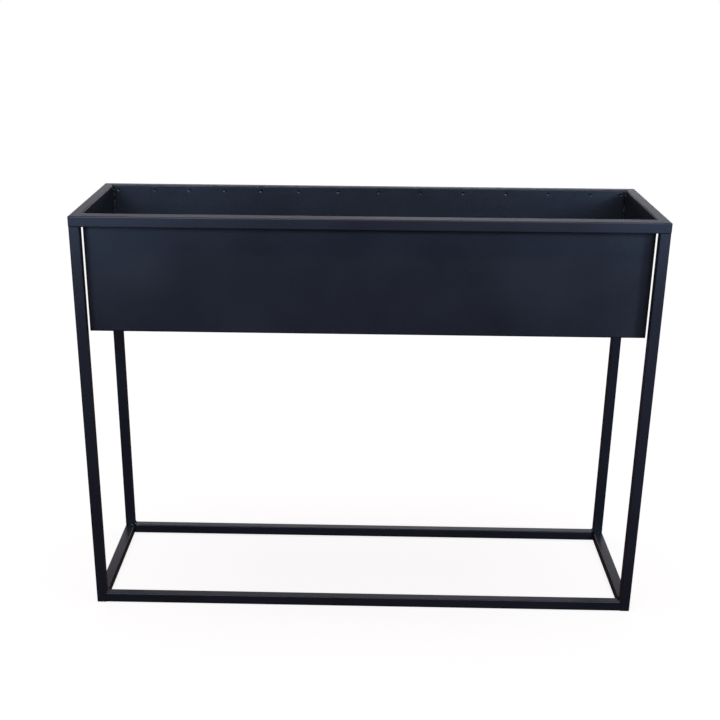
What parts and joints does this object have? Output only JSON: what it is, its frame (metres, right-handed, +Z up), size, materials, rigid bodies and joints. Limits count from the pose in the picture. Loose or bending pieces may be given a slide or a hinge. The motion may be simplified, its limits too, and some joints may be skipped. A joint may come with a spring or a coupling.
{
  "type": "raised planter on legs",
  "caption": "Long narrow sheet-steel planting trough held at waist height in an open welded frame of square tube, coated satin black.",
  "frame": {"origin": "centre of the footprint, on the floor", "axes": "+X along the length of the trough, +Y from the front to the back, +Z up"},
  "size_m": [1.1, 0.35, 0.8],
  "materials": {
    "frame_coat": "satin black powder coat",
    "trough_coat": "satin black powder coat",
    "weld_coat": "powder-coated weld metal"
  },
  "bodies": {
    "root": {"ring_front_tube": "frame_coat", "ring_back_tube": "frame_coat", "ring_left_tube": "frame_coat", "ring_right_tube": "frame_coat", "leg_front_left": "frame_coat", "leg_front_right": "frame_coat", "leg_back_left": "frame_coat", "leg_back_right": "frame_coat", "base_front_rail": "frame_coat", "base_back_rail": "frame_coat", "base_left_rail": "frame_coat", "base_right_rail": "frame_coat", "leg_cap_front_left": "frame_coat", "leg_cap_front_right": "frame_coat", "leg_cap_back_left": "frame_coat", "leg_cap_back_right": "frame_coat", "trough_shell": "trough_coat", "trough_left_end": "trough_coat", "trough_right_end": "trough_coat", "plug_welds_front": "weld_coat", "plug_welds_back": "weld_coat", "seam_weld_left": "weld_coat", "seam_weld_right": "weld_coat", "leg_top_welds": "weld_coat", "base_corner_welds": "weld_coat"}
  },
  "joints": []
}
